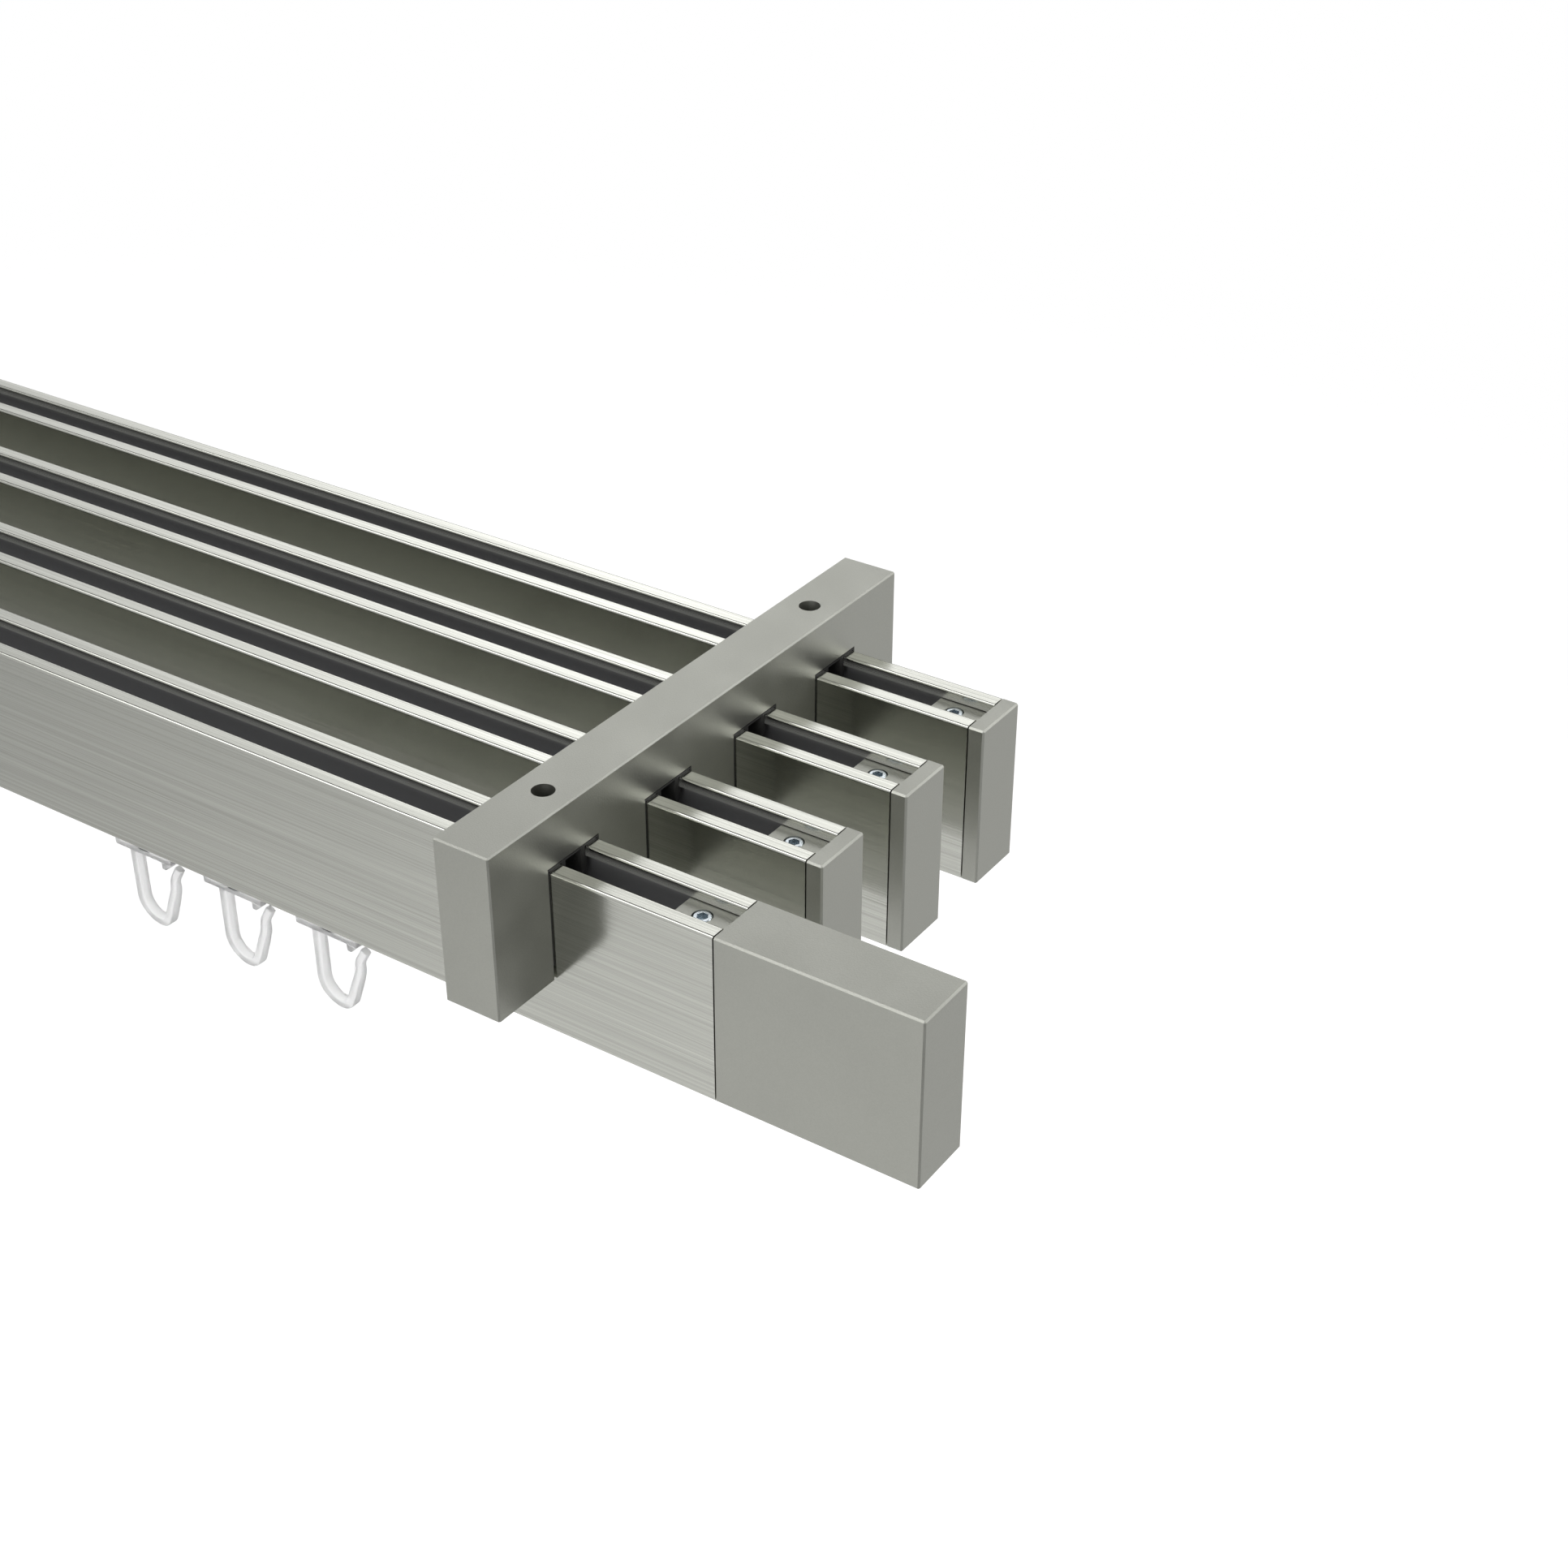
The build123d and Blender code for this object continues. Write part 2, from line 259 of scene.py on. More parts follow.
def weighted(tree, place, first, second, share):
    """The sum of two values, the second times its share and the first times the rest."""
    x, y = place
    rest = math_node(tree, "MULTIPLY", (x - 180, y), first, 1 - share)
    return math_node(tree, "MULTIPLY_ADD", place, second, share, rest)


def object_axes(tree, place):
    """The sockets X, Y and Z of the Object coordinates."""
    x, y = place
    where = node_of(tree, "ShaderNodeTexCoord", place)
    cut = node_of(tree, "ShaderNodeSeparateXYZ", (x + 180, y))
    feed(tree, cut, {0: where.outputs["Object"]})
    return cut.outputs


def noise(tree, place, coordinates, scale, detail):
    """A noise texture at the given places of the surface."""
    node = node_of(tree, "ShaderNodeTexNoise", place)
    feed(tree, node, {"Vector": coordinates, "Scale": scale, "Detail": detail, "Roughness": 0.5})
    return node.outputs["Fac"]


NOISE_LOW, NOISE_HIGH = 0.3, 0.7      # nearly all of a noise texture lies between these
STREAK_LAYERS = [(1.0, 1.0), (0.4, 0.45), (5.0, 3.0)]     # times the streaks' width and length
FINE_SHARE = 0.4                      # of the second layer in the streaks
CLOUDS_PER_GRAIN = 50                 # the clouds' size in grains


def brushing_group():
    """Brushed metal: fine streaks along X, laid over broader and fainter bands.

    Each layer is noise whose X coordinate is divided by the streak length and whose Y and Z
    coordinates are divided by the streak width, so its cells are long threads. The streaks are the
    first two layers, added with weights that sum to one, and the bands are the third."""
    group, start, end = group_with(
        "brushing", {"Width": 0.0005, "Length": 0.05}, ["Streaks", "Bands"])
    axes = object_axes(group, (-900, -200))
    layers = []
    for row, (wide, long) in enumerate(STREAK_LAYERS):
        y = 300 - 300 * row
        width = math_node(group, "MULTIPLY", (-700, y), start["Width"], wide)
        length = math_node(group, "MULTIPLY", (-700, y - 120), start["Length"], long)
        threads = node_of(group, "ShaderNodeCombineXYZ", (-340, y))
        for axis, size in {"X": length, "Y": width, "Z": width}.items():
            cells = math_node(group, "DIVIDE", (-520, y - 60 * "XYZ".index(axis)), axes[axis], size)
            feed(group, threads, {axis: cells})
        layers.append(noise(group, (-160, y), threads.outputs[0], scale=1.0, detail=1.0))
    streaks = weighted(group, (240, 200), layers[0], layers[1], FINE_SHARE)
    feed(group, end, {
        "Streaks": mapped(group, (420, 200), streaks, NOISE_LOW, NOISE_HIGH),
        "Bands": mapped(group, (420, -200), layers[2], NOISE_LOW, NOISE_HIGH)})


def satin_group():
    """Blasted metal: grain of one size, with soft clouds of many grains.

    Both are noise on the Object coordinates divided by the grain size. The clouds' noise is
    stretched by their size in grains."""
    group, start, end = group_with("satin grain", {"Size": 0.0003}, ["Grain", "Clouds"])
    where = node_of(group, "ShaderNodeTexCoord", (-900, -200)).outputs["Object"]
    scaled = node_of(group, "ShaderNodeVectorMath", (-600, 0), operation="DIVIDE")
    feed(group, scaled, {0: where, 1: start["Size"]})
    grain = noise(group, (-300, 100), scaled.outputs[0], scale=1.0, detail=2.0)
    clouds = noise(
        group, (-300, -200), scaled.outputs[0], scale=1 / CLOUDS_PER_GRAIN, detail=3.0)
    feed(group, end, {
        "Grain": mapped(group, (200, 100), grain, NOISE_LOW, NOISE_HIGH),
        "Clouds": mapped(group, (200, -200), clouds, NOISE_LOW, NOISE_HIGH)})


def inside_shade_group():
    """A mask of the painted shade inside a row of rods: 1 in the channel and the track, fading in
    their slots.

    The distance from the nearest rod's middle plane is the pitch times the distance of the
    fraction of Y over the pitch from one half. Where that is less than the half width, the mask is
    the distance of Z from the top or the bottom, whichever is nearer, over the fade, held at 0
    and 1."""
    group, start, end = group_with(
        "rod inside",
        {"Pitch": 0.03, "Half Width": 0.006, "Top": 0.0, "Bottom": -0.03, "Fade": 0.002},
        ["Inside"])
    axes = object_axes(group, (-900, -300))
    turns = math_node(group, "DIVIDE", (-540, 100), axes["Y"], start["Pitch"])
    part = math_node(group, "FRACT", (-360, 100), turns)
    off = math_node(group, "SUBTRACT", (-180, 100), part, 0.5)
    off = math_node(group, "ABSOLUTE", (0, 100), off)
    distance = math_node(group, "MULTIPLY", (180, 100), off, start["Pitch"])
    near = math_node(group, "LESS_THAN", (360, 100), distance, start["Half Width"])
    under = math_node(group, "SUBTRACT", (-180, -200), start["Top"], axes["Z"])
    over = math_node(group, "SUBTRACT", (-180, -400), axes["Z"], start["Bottom"])
    depth = math_node(group, "MINIMUM", (0, -300), under, over)
    share = math_node(group, "DIVIDE", (180, -300), depth, start["Fade"])
    held = mapped(group, (360, -300), share, 0.0, 1.0)
    feed(group, end, {"Inside": math_node(group, "MULTIPLY", (600, 0), near, held)})


def new_material(name):
    """A material with a Principled shader; returns the material, its graph and the shader."""
    material = bpy.data.materials.new(name)
    material.use_nodes = True
    tree = material.node_tree
    return material, tree, tree.nodes["Principled BSDF"]


def effect(tree, name, place, values):
    """Places a shared effect group in a material, sets its sockets and returns its outputs."""
    node = node_of(tree, "ShaderNodeGroup", place, node_tree=bpy.data.node_groups[name])
    feed(tree, node, values)
    return node.outputs


def toned(colour, factor):
    """A colour made darker or lighter by a factor, held at 1."""
    return [min(value * factor, 1) for value in colour]


def mixed_colour(tree, place, mask, low, high):
    """A colour that runs with the mask from low, a colour or a socket, to the colour high."""
    node = node_of(tree, "ShaderNodeMix", place, data_type="RGBA")
    start = low if isinstance(low, bpy.types.NodeSocket) else (*low, 1)
    feed(tree, node, {"Factor": mask, "A": start, "B": (*high, 1)})
    return node.outputs["Result"]


def relief(tree, place, height, depth):
    """The normals of a relief of a given depth in metres."""
    node = node_of(tree, "ShaderNodeBump", place)
    feed(tree, node, {"Strength": 1.0, "Distance": depth, "Height": height})
    return node.outputs["Normal"]


HALF_WALL = 0.0008                    # the mask of the inside ends in the middle of a rod's wall
STREAK_SHARE = 0.88                   # of the streaks in the rods' colour; the rest is the bands'
INSIDE_DULLNESS = 0.35                  # what the rods gain in roughness where the painted shade is


def brushed_rod_material(finish):
    """Brushed metal with long fine streaks, and inside a dark dull colour that is painted shade
    of the channel and the track.

    Reflections are drawn out across the streaks. Where the mask of the inside is 1, the painted
    shade's colour takes the metal's place and the surface is no metal."""
    material, tree, shader = new_material("brushed rod")
    marks = effect(
        tree, "brushing", (-900, 0),
        {"Width": finish.streak_width, "Length": finish.streak_length})
    first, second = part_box(RODS[0]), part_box(RODS[1])
    # The mask of the painted shade in the channel and the track.
    inside = effect(
        tree, "rod inside", (-900, -300),
        {"Pitch": second[0].y - first[0].y, "Half Width": (first[1].y - first[0].y) / 2 - HALF_WALL,
         "Top": first[1].z - finish.shade_free_edge, "Bottom": first[0].z + finish.shade_free_edge,
         "Fade": finish.shade_fade})["Inside"]
    tone = weighted(tree, (-500, 100), marks["Bands"], marks["Streaks"], STREAK_SHARE)
    metal = mixed_colour(tree, (-300, 200), tone, finish.rod_dark, finish.rod_light)
    rough = finish.rod_roughness
    polish = mapped(tree, (-300, 0), marks["Streaks"], 0.0, 1.0, rough * 1.25, rough * 0.8)
    tangent = node_of(tree, "ShaderNodeTangent", (-300, -400), direction_type="RADIAL", axis="X")
    # The base colour is the brushed metal, or the painted shade inside where the mask is 1.
    feed(tree, shader, {
        "Base Color": mixed_colour(tree, (-100, 200), inside, metal, finish.rod_inside_shade),
        "Roughness": math_node(tree, "MULTIPLY_ADD", (-100, 0), inside, INSIDE_DULLNESS, polish),
        "Metallic": math_node(tree, "SUBTRACT", (-100, -100), 1.0, inside),
        "Anisotropic": 0.5,
        "Tangent": tangent.outputs[0],
        "Normal": relief(tree, (-300, -200), marks["Streaks"], depth=0.000003)})
    return material


def grained_material(name, size, low, high, roughness, rough_mark, depth, grain_share=0.0):
    """A material marked by the satin grain; returns the material, its graph and the shader.

    Its colour runs from low to high with the clouds and a share of the grain, its roughness between
    two values with one of the two marks, and the grain is its relief."""
    material, tree, shader = new_material(name)
    marks = effect(tree, "satin grain", (-900, 0), {"Size": size})
    tone = weighted(tree, (-500, 100), marks["Clouds"], marks["Grain"], grain_share)
    feed(tree, shader, {
        "Base Color": mixed_colour(tree, (-300, 200), tone, low, high),
        "Roughness": mapped(tree, (-300, 0), marks[rough_mark], 0.0, 1.0, *roughness),
        "Normal": relief(tree, (-300, -200), marks["Grain"], depth)})
    return material, tree, shader


def satin_material(finish, name):
    """Blasted and plated metal with a fine even grain and faint clouds."""
    rough = finish.satin_roughness
    material, tree, shader = grained_material(
        name, finish.grain_size, toned(finish.satin_colour, 0.95), toned(finish.satin_colour, 1.05),
        roughness=(rough * 0.92, rough * 1.1), rough_mark="Clouds", depth=0.000012,
        grain_share=0.5)
    feed(tree, shader, {"Metallic": 1.0})
    return material


def clip_material(finish):
    """Dark moulded plastic with the fine texture of its mould."""
    return grained_material(
        "dark clip", finish.grain_size * 2, toned(finish.clip_colour, 0.85),
        toned(finish.clip_colour, 1.25), roughness=(0.45, 0.6), rough_mark="Grain",
        depth=0.00003)[0]


def screw_material(finish):
    """Bright zinc plating with a faint cloudiness."""
    material, tree, shader = grained_material(
        "zinc screw", finish.grain_size * 0.6, toned(finish.screw_colour, 0.85),
        finish.screw_colour, roughness=(0.2, 0.32), rough_mark="Grain", depth=0.00001)
    feed(tree, shader, {"Metallic": 1.0})
    return material


def glider_material(finish):
    """Translucent moulded plastic: pale, glossy, with faint flow clouds and light inside it."""
    material, tree, shader = grained_material(
        "glider plastic", finish.grain_size, toned(finish.glider_colour, 0.94),
        finish.glider_colour, roughness=(0.28, 0.38), rough_mark="Clouds", depth=0.000006)
    feed(tree, shader, {
        "IOR": 1.3, "Transmission Weight": 0.6, "Subsurface Weight": 0.5,
        "Subsurface Radius": (1.0, 1.0, 1.0), "Subsurface Scale": 0.0015})
    return material


def dress(names, material):
    """Gives CAD nodes one finish."""
    for name in names:
        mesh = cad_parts[name].data
        mesh.materials.clear()
        mesh.materials.append(material)


class CURTAINROD_OT_effects(bpy.types.Operator):
    """Builds the effect groups that the finishes share."""

    bl_idname = "curtain_rod.effects"
    bl_label = "Build shared effects"

    def execute(self, context):
        brushing_group()
        satin_group()
        inside_shade_group()
        return {"FINISHED"}


class CURTAINROD_OT_rods(bpy.types.Operator):
    """Brushes the four rods along their length."""

    bl_idname = "curtain_rod.rods"
    bl_label = "Finish rods"

    def execute(self, context):
        dress(RODS, brushed_rod_material(context.scene.curtain_rod_finishes))
        return {"FINISHED"}


class CURTAINROD_OT_brackets(bpy.types.Operator):
    """Gives the two comb brackets their satin finish."""

    bl_idname = "curtain_rod.brackets"
    bl_label = "Finish brackets"

    def execute(self, context):
        dress(BRACKETS, satin_material(context.scene.curtain_rod_finishes, "satin bracket"))
        return {"FINISHED"}


class CURTAINROD_OT_end_pieces(bpy.types.Operator):
    """Gives the end blocks and end caps their satin finish."""

    bl_idname = "curtain_rod.end_pieces"
    bl_label = "Finish end pieces"

    def execute(self, context):
        dress(END_PIECES, satin_material(context.scene.curtain_rod_finishes, "satin end"))
        return {"FINISHED"}


class CURTAINROD_OT_clips(bpy.types.Operator):
    """Colours the dark clips between the rods and the brackets."""

    bl_idname = "curtain_rod.clips"
    bl_label = "Finish clips"

    def execute(self, context):
        dress(CLIPS, clip_material(context.scene.curtain_rod_finishes))
        return {"FINISHED"}


class CURTAINROD_OT_screws(bpy.types.Operator):
    """Plates the set screws."""

    bl_idname = "curtain_rod.screws"
    bl_label = "Finish set screws"

    def execute(self, context):
        dress(SCREWS, screw_material(context.scene.curtain_rod_finishes))
        return {"FINISHED"}


def grid_faces(rows, columns, closed=False):
    """Faces between the rows and columns of a grid of points, one for each cell.

    Each joins a point, the next in its row and the two under them. Closed also joins each row's
    last point to its first."""
    i, j = np.meshgrid(
        np.arange(rows - 1), np.arange(columns if closed else columns - 1), indexing="ij")
    k = (j + 1) % columns
    cells = [i * columns + j, i * columns + k, (i + 1) * columns + k, (i + 1) * columns + j]
    return np.stack(cells, axis=-1).reshape(-1, 4).tolist()


def new_object(name, data):
    """An object of the scene for a mesh, a lamp or a camera."""
    item = bpy.data.objects.new(name, data)
    bpy.context.scene.collection.objects.link(item)
    return item


def new_mesh(name, points, faces, material):
    """A mesh object of points and faces in one material."""
    mesh = bpy.data.meshes.new(name)
    mesh.from_pydata(points.reshape(-1, 3).tolist(), [], faces)
    mesh.materials.append(material)
    return new_object(name, mesh)


def carried(path, across, deep, half_across, half_deep, edge, arc=5):
    """A rounded rectangle carried along a path, with rounded ends.

    Each ring is a rectangle of the given half sizes in the directions across and deep, whose
    corners are quarter circles: a point is the corner's centre plus the edge radius times the
    cosine and sine of its angle. At both ends, rings follow a quarter circle too: they step on by
    the radius times the sine and draw in by the radius times one less the cosine. Returns points,
    their normals and the faces."""
    turn = np.linspace(0, math.pi / 2, arc)
    count = len(path)
    rows = np.concatenate([np.zeros(arc, int), np.arange(1, count - 1), np.full(arc, count - 1)])
    lean = np.concatenate([-turn[::-1], np.zeros(count - 2), turn])
    ends = np.concatenate([np.ones(arc), np.zeros(count - 2), -np.ones(arc)])
    along = np.gradient(path, axis=0)
    along = (along / np.linalg.norm(along, axis=1, keepdims=True))[rows]
    across = np.broadcast_to(across, path.shape)[rows]
    deep = np.broadcast_to(deep, path.shape)[rows]
    deep = deep * np.sign(np.sum(np.cross(across, deep) * along, axis=1, keepdims=True))
    inset = edge * (1 - np.cos(lean))
    half_a = (np.broadcast_to(half_across, count)[rows] - inset)[:, None]
    half_d = (np.broadcast_to(half_deep, count)[rows] - inset)[:, None]
    radius = (edge * np.cos(lean))[:, None]
    centre = path[rows] + along * (edge * (np.sin(lean) + ends))[:, None]
    corner = np.repeat([[1, 1], [-1, 1], [-1, -1], [1, -1]], arc, axis=0)
    angle = np.concatenate([turn + quarter * math.pi / 2 for quarter in range(4)])
    cos, sin = np.cos(angle), np.sin(angle)
    a = corner[:, 0] * (half_a - radius) + radius * cos
    d = corner[:, 1] * (half_d - radius) + radius * sin
    points = centre[:, None] + a[..., None] * across[:, None] + d[..., None] * deep[:, None]
    outward = cos[:, None] * across[:, None] + sin[:, None] * deep[:, None]
    normals = outward * np.cos(lean)[:, None, None] + along[:, None] * np.sin(lean)[:, None, None]
    rings, steps = points.shape[:2]
    faces = grid_faces(rings, steps, closed=True)
    faces += [list(range(steps))[::-1], list(range((rings - 1) * steps, rings * steps))]
    return points.reshape(-1, 3), normals.reshape(-1, 3), faces


# The glider in millimetres. X and Z count from the middle of its neck, at the foot of the guide
# that runs in the track's slot. A half is half of a thickness.
HOOK_LEFT, HOOK_TOP = -4.4, -6.3      # the stem's left side, and its upper end inside the bar
BEND_X, BEND_Z = 2.0, -18.3           # where the quarter ellipse under the stem has its centre
FOOT_RADIUS, FOOT_TURN = 3.5, 70      # the foot's outer radius, and its degrees
# The limb after the foot: each row is a straight length, or else a middle radius and the degrees
# that it turns by, which are positive to the left and negative to the right.
LIMB_RUNS = [(7.4, 0, 0), (0, 8.0, 20), (0, -3.5, -30), (3.2, 0, 0)]
THIN_FROM, THIN_OVER = -17.0, 6.0     # where the limb starts to lose depth, and over what height
BAR_LEFT, BAR_RIGHT, BAR_Z, BAR_HALF = -8.7, 8.0, -6.15, 0.95
TOOTH_LEFT, TOOTH_RIGHT, TOOTH_TIP = 5.2, 8.0, 6.4
TOOTH_TOP, TOOTH_FOOT, TOOTH_ROWS = -7.0, -8.6, 6
NECK_HALF, NECK_TOP = 1.6, 2.9
GUIDE_HALF, GUIDE_TOP = 2.7, 1.95
HEAD_FOOT, HEAD_TOP, HEAD_HALF, HEAD_HALF_DEPTH, HEAD_EDGE = 1.9, 3.9, 2.7, 4.7, 0.8


def arc_points(centre, radii, start, end, count):
    """Points of an ellipse's arc: its centre plus its two radii times cosine and sine."""
    angle = np.radians(np.linspace(start, end, count))
    return np.array(centre) + np.array(radii) * np.stack([np.cos(angle), np.sin(angle)], axis=-1)


def hook_sides(size):
    """The hook's outer and inner side as rows of points in X and Z, in millimetres.

    The stem goes straight down, then each side follows a quarter of its own ellipse to the foot of
    the hook. From there both follow arcs about common centres and straight lines: round the foot,
    up the limb and through its runs. An arc's point is its centre plus its radius times the cosine
    and sine of the angle turned so far."""
    stem, limb, drop = size.stem * 1000, size.limb * 1000, size.drop * 1000
    sides = []
    for inner in (False, True):
        left = HOOK_LEFT + stem * inner
        down = np.stack([np.full(14, left), np.linspace(HOOK_TOP, BEND_Z, 14)], axis=-1)
        bend = arc_points(
            (BEND_X, BEND_Z), (BEND_X - left, drop + BEND_Z - limb * inner), 180, 270, 20)
        turn = arc_points(
            (BEND_X, FOOT_RADIUS - drop), (FOOT_RADIUS - limb * inner,) * 2,
            270, 270 + FOOT_TURN, 14)
        heading, shift = math.radians(90 - FOOT_TURN), limb / 2 * (-1 if inner else 1)
        rows = [down, bend[1:], turn[1:]]
        for length, radius, bent in LIMB_RUNS:
            ahead = np.array([math.sin(heading), math.cos(heading)])
            right = np.array([ahead[1], -ahead[0]])
            begin = rows[-1][-1]
            if length:
                rows.append(begin + ahead * np.linspace(0, length, 9)[1:, None])
                continue
            turned = math.radians(bent) * np.linspace(0, 1, 8)[1:, None]
            middle = begin - right * (radius + shift)
            rows.append(
                middle + (radius + shift) * (right * np.cos(turned) + ahead * np.sin(turned)))
            heading -= math.radians(bent)
        sides.append(np.concatenate(rows))
    return sides


def glider_parts(size):
    """The parts of one glider in metres: hook, bar, tooth, neck, guide and head.

    The hook is carried along the mean of its two sides, with half their distance as its half size.
    Its depth falls from full to the tip's in proportion to the height that the limb has risen. The
    tooth's right side runs in towards its foot in proportion to the height too."""
    x_axis, y_axis, z_axis = np.eye(3)
    outer, inner = hook_sides(size)
    middle, span = (outer + inner) / 2, outer - inner
    thick = np.linalg.norm(span, axis=1)
    path = np.stack([middle[:, 0], np.zeros(len(middle)), middle[:, 1]], axis=-1)
    across = np.stack([span[:, 0], np.zeros(len(middle)), span[:, 1]], axis=-1) / thick[:, None]
    full, tip, edge = size.depth * 1000, size.tip_depth * 1000, size.edge * 1000
    risen = np.clip((middle[:, 1] - THIN_FROM) / THIN_OVER, 0, 1) * (middle[:, 0] > BEND_X)
    deep = full + (tip - full) * risen
    right = np.linspace(TOOTH_RIGHT, TOOTH_TIP, TOOTH_ROWS)
    tooth_path = np.stack(
        [(TOOTH_LEFT + right) / 2, np.zeros(TOOTH_ROWS),
         np.linspace(TOOTH_TOP, TOOTH_FOOT, TOOTH_ROWS)], axis=-1)

    def block(start, end, across_axis, half_across, half_deep, radius, count=2):
        row = np.linspace(np.array(start, float), np.array(end, float), count)
        return carried(row, across_axis, y_axis, half_across, half_deep, radius)

    parts = [
        carried(path, across, y_axis, thick / 2, deep / 2, edge),
        block((BAR_LEFT, 0, BAR_Z), (BAR_RIGHT, 0, BAR_Z), z_axis, BAR_HALF, full / 2, edge, 3),
        carried(tooth_path, x_axis, y_axis, (right - TOOTH_LEFT) / 2, full / 2, edge * 0.6),
        block((0, 0, BAR_Z), (0, 0, NECK_TOP), x_axis, NECK_HALF, full / 2, edge),
        block((0, 0, 0), (0, 0, GUIDE_TOP), x_axis, GUIDE_HALF, GUIDE_HALF, edge),
        block((0, 0, HEAD_FOOT), (0, 0, HEAD_TOP), x_axis, HEAD_HALF, HEAD_HALF_DEPTH, HEAD_EDGE),
    ]
    return [(points / 1000, normals, faces) for points, normals, faces in parts]


def joined(name, parts, place, material):
    """One mesh object of several closed surfaces with their normals, set down at a place."""
    offsets = np.cumsum([0] + [len(points) for points, _, _ in parts[:-1]])
    points = np.concatenate([part[0] for part in parts]) + np.array(place)
    normals = np.concatenate([part[1] for part in parts])
    faces = [[v + int(o) for v in face] for o, part in zip(offsets, parts) for face in part[2]]
    item = new_mesh(name, points, faces, material)
    item.data.normals_split_custom_set_from_vertices(normals.tolist())
    return item


class CURTAINROD_OT_gliders(bpy.types.Operator):
    """Moulds the twelve hook gliders in place of the plain ones."""

    bl_idname = "curtain_rod.gliders"
    bl_label = "Make gliders"

    def execute(self, context):
        scene = context.scene
        material = glider_material(scene.curtain_rod_finishes)
        parts = glider_parts(scene.curtain_rod_glider)
        for name in GLIDERS:
            low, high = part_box(name)
            place = (low.x - BAR_LEFT / 1000, (low.y + high.y) / 2, high.z - HEAD_TOP / 1000)
            moulded = joined(f"moulded_{name}", parts, place, material)
            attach(moulded, name)
            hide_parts(name)
        return {"FINISHED"}


# The studio, in metres. Where a strength changes, it runs softly between two values of X, of X
# plus Z, or of an axis of the direction that is looked in.
FLOOR_RINGS, FLOOR_STEPS, FLOOR_CORE = 12, 72, 0.02
FLOOR_MELT = 0.35                     # share of the floor's radius where it starts to melt
GLOW_LEFT, GLOW_RIGHT, GLOW_KEPT = -0.4, 0.3, 0.38
STRIP_CORNERS = [(-1.9, 0.645, -0.06), (0.1, 1.68, 0.84), (0.1, 1.68, 1.72), (-1.9, 0.645, 0.82)]
STRIP_DIM_X, STRIP_BRIGHT_X, STRIP_DIM_SHARE = -1.25, -0.5, 0.42
BAND_MIDDLE, BAND_CORE, BAND_END = 0.59, 0.09, 0.17       # in X plus Z, and from its middle
DARK_CORNERS = [(0.6, -1.2, -0.41), (1.6, -1.2, -0.41), (1.6, -0.25, -0.41), (0.6, -0.25, -0.41)]
DUSK_STARTS, DUSK_FULL = 0.0, 0.2     # the lesser of a direction's Y and Z
LEFT_FULL, LEFT_STARTS = -1.0, -0.55  # a direction's X
LAMPS = {                             # by the setting of its power: name, place, target and size
    "overhead": ("overhead softbox", (0.1, -0.43, 1.1), (0.1, -0.43, 0), (2.0, 0.8)),
    "rim": ("rim lamp", (1.38, 1.13, 0.76), (0.5, 0, 0), (1.0, 0.7)),
    "fill": ("fill lamp", (0.6, -0.7, 0.2), (0.25, -0.45, -0.42), (0.4, 0.4)),
}


def seen_as(tree, place, camera, metal, light):
    """Three strengths in one: for the camera and clear things, for reflections, and for light.

    The shares of the three kinds of ray are 0 or 1, so the strength is the light's, plus the
    camera's or the metal's difference from it."""
    x, y = place
    rays = node_of(tree, "ShaderNodeLightPath", (x - 600, y)).outputs
    straight = math_node(
        tree, "MAXIMUM", (x - 400, y), rays["Is Camera Ray"], rays["Is Transmission Ray"])
    strength = math_node(tree, "MULTIPLY_ADD", (x - 200, y), straight, camera - light, light)
    more = math_node(tree, "SUBTRACT", (x - 200, y - 200), metal, light)
    return math_node(tree, "MULTIPLY_ADD", place, rays["Is Glossy Ray"], more, strength)


def floor_material(studio):
    """Pale floor that keeps the shadow. It melts into the white all round, and is clear from below.

    It adds a little light of its own to what the camera sees, and to reflections, where that
    light fades softly to the left."""
    material, tree, shader = new_material("pale floor")
    where = node_of(tree, "ShaderNodeTexCoord", (-900, 300)).outputs["Object"]
    flat = node_of(tree, "ShaderNodeVectorMath", (-700, 300), operation="MULTIPLY")
    feed(tree, flat, {0: where, 1: (1, 1, 0)})
    away = node_of(tree, "ShaderNodeVectorMath", (-500, 300), operation="LENGTH")
    feed(tree, away, {0: flat.outputs[0]})
    melted = mapped(
        tree, (-300, 300), away.outputs["Value"], studio.floor_radius * FLOOR_MELT,
        studio.floor_radius, soft=True)
    side = node_of(tree, "ShaderNodeNewGeometry", (-300, 600))
    unseen = math_node(tree, "MAXIMUM", (-100, 400), melted, side.outputs["Backfacing"])
    spread = mapped(
        tree, (-1500, -400), object_axes(tree, (-1900, -400))["X"], GLOW_LEFT, GLOW_RIGHT,
        low=GLOW_KEPT, soft=True)
    glow = math_node(tree, "MULTIPLY", (-1300, -400), spread, studio.floor_glow)
    feed(tree, shader, {
        "Base Color": (studio.floor_shade,) * 3 + (1,),
        "Roughness": 1.0,
        "Specular IOR Level": 0.0,
        "Emission Color": (1, 1, 1, 1),
        "Emission Strength": seen_as(tree, (-200, -300), studio.floor_lift, glow, 0.0)})
    clear = node_of(tree, "ShaderNodeBsdfTransparent", (0, -300))
    mix = node_of(tree, "ShaderNodeMixShader", (250, 0))
    feed(tree, mix, {0: unseen, 1: shader.outputs[0], 2: clear.outputs[0]})
    feed(tree, tree.nodes["Material Output"], {"Surface": mix.outputs[0]})
    return material


